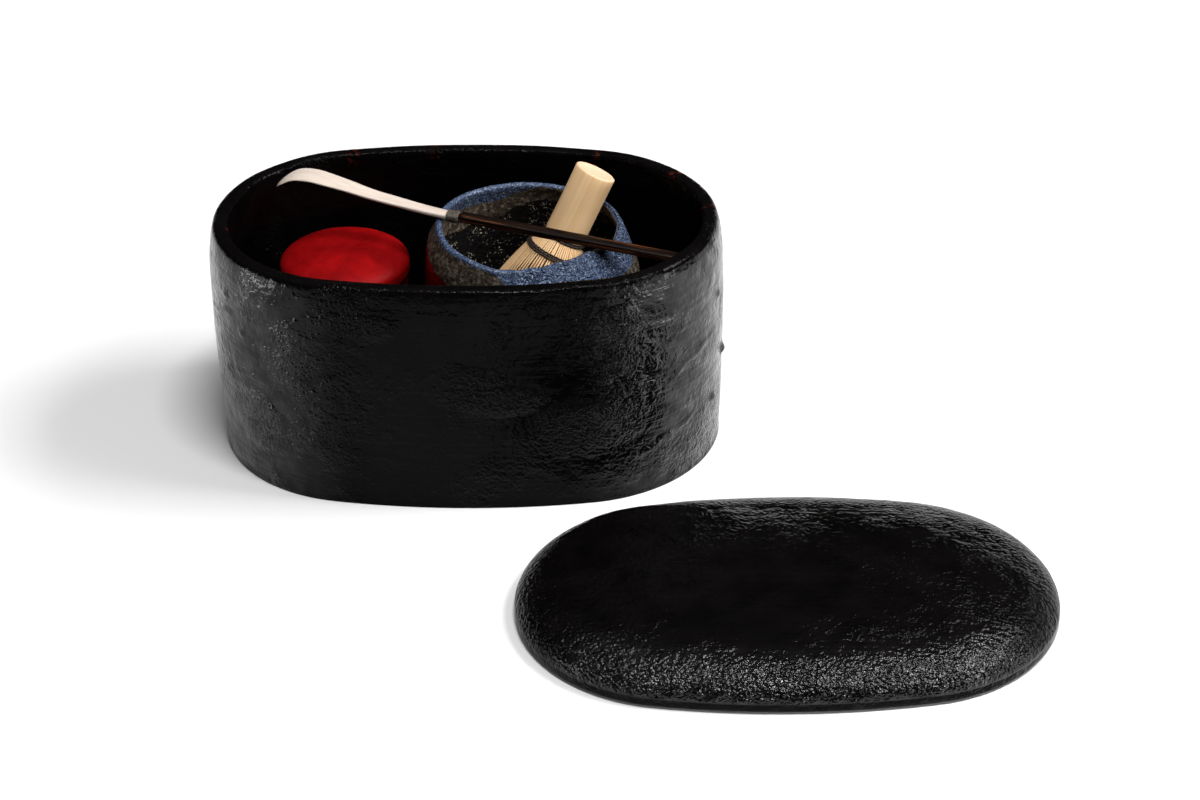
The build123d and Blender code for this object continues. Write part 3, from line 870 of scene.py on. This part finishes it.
def build_bowl():
    """A hand-built bowl with a folded lip, in three glazes."""
    outer_rows, inner_rows, lip_rows = 44, 40, 9
    columns = []
    for k in range(BOWL_COLUMNS):
        angle = 2 * math.pi * k / BOWL_COLUMNS
        degrees = math.degrees(angle) if angle < math.pi else math.degrees(angle) - 360
        rim = rim_height(angle)
        fold = between(LIP_FOLD, degrees)
        column = [(0.01, BOWL_FOOT_HEIGHT), (BOWL_FOOT_INNER * 0.5, BOWL_FOOT_HEIGHT),
                  (BOWL_FOOT_INNER - 0.6, BOWL_FOOT_HEIGHT), (BOWL_FOOT_INNER, BOWL_FOOT_HEIGHT - 0.6),
                  (BOWL_FOOT_INNER, 0.5), (BOWL_FOOT_INNER + 0.5, 0), (BOWL_FOOT - 0.6, 0), (BOWL_FOOT, 0.6),
                  (BOWL_FOOT, BOWL_FOOT_HEIGHT - 0.5), (BOWL_FOOT + 0.6, BOWL_FOOT_HEIGHT)]
        foot_rows = len(column)
        for j in range(9):
            turn = math.pi / 2 * (j + 1) / 9
            column.append((BELLY - OUTER_CORNER + OUTER_CORNER * math.sin(turn),
                           BOWL_FOOT_HEIGHT + OUTER_CORNER * (1 - math.cos(turn))))
        start = BOWL_FOOT_HEIGHT + OUTER_CORNER
        for j in range(1, outer_rows + 1):
            height = start + (rim - LIP_ROUND - start) * j / outer_rows
            column.append((BELLY - wall_lean(height, rim, fold), height))
        outer_edge = column[-1][0]
        inner_edge = outer_edge - BOWL_LIP - 0.1 * fold
        for j in range(1, lip_rows):
            turn = math.pi * j / lip_rows
            column.append(((outer_edge + inner_edge) / 2 + (outer_edge - inner_edge) / 2 * math.cos(turn),
                           rim - LIP_ROUND + LIP_ROUND * math.sin(turn)))
        bottom = BOWL_FOOT_HEIGHT + BOWL_BOTTOM
        inner_start = bottom + INNER_CORNER
        for j in range(inner_rows + 1):
            height = rim - LIP_ROUND + (inner_start - rim + LIP_ROUND) * j / inner_rows
            thick = BOWL_LIP + 0.1 * fold + (BELLY_WALL - BOWL_LIP) * smooth(height, rim, BELLY_HEIGHT)
            column.append((BELLY - wall_lean(height, rim, fold) - thick, height))
        for j in range(1, 12):
            turn = math.pi / 2 * j / 11
            column.append((BELLY - BELLY_WALL - INNER_CORNER + INNER_CORNER * math.cos(turn),
                           inner_start - INNER_CORNER * math.sin(turn)))
        column += [(12, bottom), (5, bottom), (0.01, bottom)]
        columns.append((angle, degrees, rim, column))
    lip_row = foot_rows + 9 + outer_rows + lip_rows // 2
    rings, glaze, zones = [], [], []
    for row in range(len(columns[0][3])):
        ring = []
        for angle, degrees, rim, column in columns:
            radius, height = column[row]
            point = bowl_centre + heading(angle) * radius + Vector((0, 0, height))
            uneven = smooth(height, 8, 30) * (lumpy(point, (17, 0.5), (6, 0.18)) - 0.35)
            bulge = smooth(-math.cos(angle), 0.1, 1) * smooth(height, 30, 72) * smooth(rim - height, 0, 12)
            uneven += LEFT_BULGE * bulge
            if row > foot_rows:
                point += heading(angle) * uneven * (0.4 if row > lip_row else 1.0)
            ring.append(point)
            depth = rim - height
            inside = row > lip_row
            glaze.append(inner_glaze(degrees, depth) if inside else outer_glaze(degrees, depth))
            ripple = (0 if inside else 1) * smooth(degrees, -104, -84) * (1 - smooth(degrees, 40, 60))
            zones.append((ripple, float(inside) * smooth(depth, 6, 14), 0))
        rings.append(ring)
    painted = {"glaze": glaze, "zones": zones}
    bowl = piece("bowl_shell", *grid(rings), glaze_finish, "bowl", ["tea_bowl"], attributes=painted)
    bowl.data.materials.append(clay_finish.material)
    foot_top = (bowl_centre.z + BOWL_FOOT_HEIGHT + 0.7) * MM
    for face in bowl.data.polygons:
        face.material_index = int(face.center.z < foot_top)


def inner_glaze(degrees, depth):
    """Blue running in over the lip at the back, an olive band under it, black below."""
    blue_depth = between(INNER_BLUE, degrees)
    olive_depth = blue_depth + between(INNER_OLIVE, degrees)
    blue = 1 - smooth(depth, blue_depth - 1.5, blue_depth + 1.5)
    olive = 1 - smooth(depth, olive_depth - 6, olive_depth + 3)
    return (blue, olive, 0)


def outer_glaze(degrees, depth):
    """A blue rim on the near right and the back, elsewhere olive from the lip down, and red under both."""
    left = max(smooth(degrees, 95, 125), 1 - smooth(degrees, -112, -94))
    blue_depth = 12 - 10.8 * left
    from_left = 180 - abs(degrees)
    red_from = 9 + 0.17 * from_left + 8 * (1 - left)
    blue = 1 - smooth(depth, blue_depth - 0.9, blue_depth + 1.5)
    red = smooth(depth, red_from - 2, red_from + 2)
    return (blue, 1 - red, red)


# ------------------------ whisk

OUTER_TINES = 72
INNER_TINES = 44
# The thread's turns: radius and height, first those at the handle, then those lower down.
THREAD_TURNS = [(10.3, 60.3), (10.7, 59.3), (14.3, 52.4), (14.75, 51.5), (15.15, 50.6)]
whisk_axis = heading(WHISK_HEADING) * math.sin(WHISK_LEAN) + Vector((0, 0, math.cos(WHISK_LEAN)))
whisk_start = heading(WHISK_HEADING + math.pi / 2)
handle_middle = centre_of("whisk_handle")
whisk_foot = handle_middle - whisk_axis * (WHISK_WAIST + WHISK_HANDLE / 2)
whisk_side = whisk_axis.cross(whisk_start)


def whisk_ray(angle):
    """Direction out from the whisk's axis."""
    return whisk_start * math.cos(angle) + whisk_side * math.sin(angle)


def tine(path, angle, widths, depths):
    """(points, faces) of one bent bamboo strip: path holds (radius, height, sideways)."""
    out = whisk_ray(angle)
    side = whisk_axis.cross(out)
    rings = []
    for k, (radius, height, sideways) in enumerate(path):
        t = k / (len(path) - 1)
        middle = whisk_foot + out * radius + whisk_axis * height + side * sideways
        half_width = (widths[0] + (widths[1] - widths[0]) * t) / 2
        half_depth = (depths[0] + (depths[1] - depths[0]) * t) / 2
        rings.append([middle + side * half_width * a + out * half_depth * b
                      for a, b in ((-1, -1), (1, -1), (1, 1), (-1, 1))])
    points, faces = grid(rings)
    last = 4 * (len(path) - 1)
    faces += [(3, 2, 1, 0), (last, last + 1, last + 2, last + 3)]
    return points, faces


def tines(count, shape, spread, widths, depths, seed):
    """A whole ring of tines, each a little different."""
    chance = random.Random(seed)
    parts = []
    for k in range(count):
        wander = chance.uniform(-1, 1)
        lift = chance.uniform(0, 1)
        bent = []
        for radius, height in shape:
            free = 1 - height / WHISK_WAIST
            bent.append((radius + wander * spread * free, height + 0.8 * lift * free, 0))
        sway = chance.uniform(-1, 1) * 1.2 * spread
        path = [(p.x, p.y, sway * (1 - min(1, p.y / 50)) ** 2) for p in curve_through(bent, 18)]
        parts.append(tine(path, 2 * math.pi * (k + 0.12 * chance.uniform(-1, 1)) / count, widths, depths))
    return joined(parts)


def build_whisk():
    """Handle, two rings of tines and the thread between them."""
    end = WHISK_WAIST + WHISK_HANDLE
    bore = WHISK_RADIUS - 2.3
    profile = [(bore, WHISK_WAIST + 20), (bore, WHISK_WAIST), (WHISK_RADIUS - 0.5, WHISK_WAIST),
               (WHISK_RADIUS - 0.15, WHISK_WAIST + 0.4)]
    for k in range(13):
        hollow = 0.12 * math.sin(math.pi * k / 12)
        profile.append((WHISK_RADIUS - 0.1 - hollow, WHISK_WAIST + 1 + (WHISK_HANDLE - 2) * k / 12))
    profile += [(WHISK_RADIUS - 0.2, end - 0.3), (WHISK_RADIUS - 0.6, end)]
    side_rows = len(profile)
    profile += [(bore + 0.5, end), (bore, end - 0.25), (bore - 0.4, end - 0.6)]
    profile += [(4, end - 0.75), (0.01, end - 0.7)]
    rings = lathe(profile, whisk_foot, whisk_axis, whisk_start, 96)
    for ring in rings[side_rows + 1:]:
        for point in ring:
            point += whisk_axis * 0.25 * noise.noise(point / 3.5)
    points, faces = grid(rings)
    points.append(whisk_foot + whisk_axis * (WHISK_WAIST + 20))
    faces += [((k + 1) % 96, k, len(points) - 1) for k in range(96)]
    handle = piece("whisk_grip", points, faces, bamboo_finish, "whisk", ["whisk_handle"])
    handle.data.materials.append(bamboo_end.material)
    for face in handle.data.polygons:
        along = (Vector(face.center) / MM - whisk_foot).dot(whisk_axis)
        face.material_index = int(along > end - 0.9 and abs(face.normal.dot(whisk_axis)) > 0.7)
    outer_shape = [(9.4, WHISK_WAIST), (11.4, 56.5), (13.6, 52), (16.2, 46)]
    outer_shape += [(19.6, 35), (22.6, 22), (24.0, 9), (22.0, 1)]
    ring = tines(OUTER_TINES, outer_shape, 0.5, (0.74, 0.5), (0.75, 0.3), 11)
    piece("whisk_outer_splints", *ring, bamboo_finish, "whisk", ["whisk_outer_tines"], flat=True)
    inner_shape = [(8.2, WHISK_WAIST), (8.0, 52), (7.0, 38), (5.6, 18), (4.6, 6), (4.0, 2.2)]
    ring = tines(INNER_TINES, inner_shape, 0.35, (0.7, 0.35), (0.6, 0.25), 12)
    piece("whisk_inner_splints", *ring, bamboo_finish, "whisk", ["whisk_inner_tines"], flat=True)
    loops = []
    for level, (radius, height) in enumerate(THREAD_TURNS):
        path = []
        for k in range(256):
            angle = 2 * math.pi * k / 256
            weave = 0.2 * math.sin(angle * OUTER_TINES / 2 + level * math.pi)
            path.append(whisk_foot + whisk_ray(angle) * (radius + weave) + whisk_axis * (height + weave))
        loops.append(tube(path, 0.48, 6, closed=True))
    piece("whisk_binding", *joined(loops), thread_finish, "whisk", ["whisk_thread"])


# ------------------------ scoop

SEAT_GAP = 0.3
HANDLE_WIDTH = 6.2
HANDLE_THICKNESS = 4.0
NECK_THICKNESS = 3.0
JOINT = -37.5
BINDING_LENGTH = 6.8
# The blade from neck to tip: (along, height of its middle, width, thickness)
BLADE = [
    (0, 1.8, 5.8, 3.2), (-14, 2.4, 6.8, 2.9), (-28, 3.7, 7.8, 2.6), (-42, 5.2, 8.8, 2.3),
    (-54, 7.4, 10.6, 2.0), (-62, 9.0, 12.0, 1.8), (-69, 9.9, 12.8, 1.7), (-75.5, 9.7, 12.9, 1.6),
    (-81, 8.2, 12.3, 1.5), (-86, 4.6, 10.0, 1.4), (-88.9, 1.5, 5.2, 1.0),
]
scoop_origin = rim_centre + scoop_across * SCOOP_OFFSET


def scoop_point(along, sideways, up):
    """A point of the scoop in its own terms: along it, across it and up from the bowl's rim."""
    return scoop_origin + fall * along + scoop_across * sideways + rim_up * up


def squared(k, count, power):
    """Place number k of count round a rounded square that reaches 1 each way."""
    turn = 2 * math.pi * k / count
    c, s = math.cos(turn), math.sin(turn)
    return math.copysign(abs(c) ** power, c), math.copysign(abs(s) ** power, s)


def build_scoop():
    """Blade, handle, the cord round their joint; the hidden tenon keeps its CAD shape."""
    end = (corners("scoop_handle")[1].x - scoop_origin.x) / fall.x - 0.9
    neck_end = JOINT + BINDING_LENGTH / 2
    stations = [(JOINT + 0.05, 0.87, 1.0), (neck_end + 0.2, 0.87, 1.0), (neck_end + 0.7, 0.98, 0.0)]
    count = 50
    first = stations[-1][0]
    stations += [(first + (end - first) * (k + 1) / count, 1.0, 0.0) for k in range(count)]
    stations += [(end + 0.35, 0.93, 0.1), (end + 0.55, 0.8, 0.25)]
    rings = []
    for along, wide, thin in stations:
        uneven = 0.16 * noise.noise(Vector((along / 11, 0.3, 7)))
        bottom = SEAT_GAP + 0.05
        top = SEAT_GAP + HANDLE_THICKNESS - thin * (HANDLE_THICKNESS - NECK_THICKNESS) + 0.5 * uneven
        width = HANDLE_WIDTH * wide + uneven
        ring = []
        for k in range(40):
            x, y = squared(k, 40, 0.55)
            ring.append(scoop_point(along, x * width / 2, (bottom + top) / 2 + y * (top - bottom) / 2))
        rings.append(ring)
    piece("scoop_grip", *capped(rings), ebony_finish, "scoop", ["scoop_handle"])

    rings = []
    middle_line = curve_through([(a, h, 0) for a, h, _, _ in BLADE], 90)
    sizes = curve_through([(w, t, 0) for _, _, w, t in BLADE], 90)
    for place, size in zip(middle_line, sizes):
        width, thick = size.x, size.y
        hollow = 0.22 * smooth(-place.x, 50, 66) * thick
        ring = []
        for k in range(44):
            x, y = squared(k, 44, 0.65)
            up = y * thick / 2 - hollow * x**2 * 2
            ring.append(scoop_point(JOINT + place.x, x * width / 2, place.y + up))
        rings.append(ring)
    piece("scoop_leaf", *capped(rings), blade_finish, "scoop", ["scoop_blade"])

    turns, cord = 8, 0.44
    path = []
    for k in range(turns * 40 + 1):
        along = JOINT - BINDING_LENGTH / 2 + cord + (BINDING_LENGTH - 2 * cord) * k / (turns * 40)
        x, y = squared(k, 40, 0.6)
        up = y * (NECK_THICKNESS / 2 + cord - 0.05)
        path.append(scoop_point(along, x * (HANDLE_WIDTH / 2 + 0.1), SEAT_GAP + NECK_THICKNESS / 2 + up))
    piece("scoop_cord", *tube(path, cord + 0.05, 7), cord_finish, "scoop", ["scoop_binding"])


# ------------------------ the CAD nodes that stay

def keep(node, finish):
    """Gives a CAD node that stays in view its finish."""
    thing = nodes[node]
    thing.data.materials.clear()
    thing.data.materials.append(finish.material)


build_box()
build_lid()
build_caddy()
build_bowl()
build_whisk()
build_scoop()
keep("box_floor_board", inner_finish)
keep("lid_locating_lip", inner_finish)
keep("caddy_body", red_finish)
keep("scoop_tenon", bamboo_finish)

# ------------------------ stage

FLOOR_SIZE = 12.0
# The floor's own glow where it is looked at: its strength, and the distances over which it comes up.
FLOOR_GLOW = 0.5
GLOW_FROM = 0.2
GLOW_FULL = 0.9


def build_floor():
    """A white floor that keeps the shadow."""
    material = bpy.data.materials.new("floor")
    material.use_nodes = True
    graph = Graph(material.node_tree)
    diffuse = graph.node("ShaderNodeBsdfDiffuse", {"Color": (0.88, 0.875, 0.875, 1)})
    path = graph.node("ShaderNodeLightPath")
    mirrored = graph.sum(path.outputs["Is Glossy Ray"], path.outputs["Is Transmission Ray"], "MAXIMUM")
    seen = graph.sum(path.outputs["Is Camera Ray"], mirrored, "MAXIMUM")
    place = graph.node("ShaderNodeTexCoord").outputs["Object"]
    away = graph.node("ShaderNodeVectorMath", {0: place}, operation="LENGTH").outputs["Value"]
    spread = graph.node("ShaderNodeMapRange", {"Value": away, "From Min": GLOW_FROM, "From Max": GLOW_FULL})
    strength = graph.times(graph.times(seen, spread.outputs[0]), FLOOR_GLOW)
    glow = graph.node("ShaderNodeEmission", {"Strength": strength})
    both = graph.node("ShaderNodeAddShader", {0: diffuse.outputs[0], 1: glow.outputs[0]})
    graph.node("ShaderNodeOutputMaterial", {"Surface": both.outputs[0]})
    mesh = bpy.data.meshes.new("floor")
    half = FLOOR_SIZE / 2
    sides = [(-half, -half, 0), (half, -half, 0), (half, half, 0), (-half, half, 0)]
    mesh.from_pydata(sides, [], [(0, 1, 2, 3)])
    mesh.materials.append(material)
    placed("floor", mesh)


def lamp(name, place, aim, size, power):
    """A soft rectangular lamp."""
    data = bpy.data.lights.new(name, "AREA")
    data.shape = "RECTANGLE"
    data.size, data.size_y = size
    data.energy = power
    thing = placed(name, data)
    thing.location = place
    thing.rotation_euler = (Vector(aim) - Vector(place)).to_track_quat("-Z", "Y").to_euler()


def build_world():
    """Soft fill: dim along the horizon, brighter overhead."""
    world = bpy.data.worlds.new("studio")
    bpy.context.scene.world = world
    world.use_nodes = True
    graph = Graph(world.node_tree)
    direction = graph.node("ShaderNodeTexCoord").outputs["Generated"]
    upward = graph.node("ShaderNodeSeparateXYZ", {0: direction}).outputs["Z"]
    background = graph.node("ShaderNodeBackground", {"Color": graph.ramp(upward, (0.55, 0.03), (0.95, 0.4))})
    graph.node("ShaderNodeOutputWorld", {"Surface": background.outputs[0]})


build_floor()
build_world()
lamp("right_softbox", (1.05, 0.0, 1.15), (0.05, -0.05, 0.05), (0.7, 0.6), 25)
lamp("overhead_strip", (0.2, -0.45, 1.6), (0.1, -0.1, 0.0), (0.5, 0.1), 17)
lamp("left_card", (-1.0, -0.3, 0.1), (-0.1, -0.05, 0.06), (0.5, 0.16), 3.5)
lamp("right_card", (1.1, -0.5, 0.1), (0.1, -0.05, 0.06), (0.5, 0.16), 3.5)

# ------------------------ camera

CAMERA_AZIMUTH = math.radians(1.85)
CAMERA_ELEVATION = math.radians(31.4)
CAMERA_ROLL = math.radians(-0.7)
CAMERA_DISTANCE = 1.4443
CAMERA_TARGET = Vector((0.06186, 0.02141, 0.0))
CAMERA_LENS = 87.0


def build_camera():
    """The photograph's view."""
    data = bpy.data.cameras.new("camera")
    data.sensor_width = 36.0
    data.lens = CAMERA_LENS
    data.clip_end = 50.0
    camera = placed("camera", data)
    a, e = CAMERA_AZIMUTH, CAMERA_ELEVATION
    back = Vector((math.sin(a) * math.cos(e), -math.cos(a) * math.cos(e), math.sin(e)))
    level = (-back).cross(Vector((0, 0, 1))).normalized()
    upright = level.cross(-back)
    right = level * math.cos(CAMERA_ROLL) + upright * math.sin(CAMERA_ROLL)
    up = upright * math.cos(CAMERA_ROLL) - level * math.sin(CAMERA_ROLL)
    turned = Matrix((right, up, back)).transposed().to_4x4()
    camera.matrix_world = Matrix.Translation(CAMERA_TARGET + back * CAMERA_DISTANCE) @ turned
    bpy.context.scene.camera = camera


build_camera()
bpy.context.scene.view_settings.view_transform = "Standard"
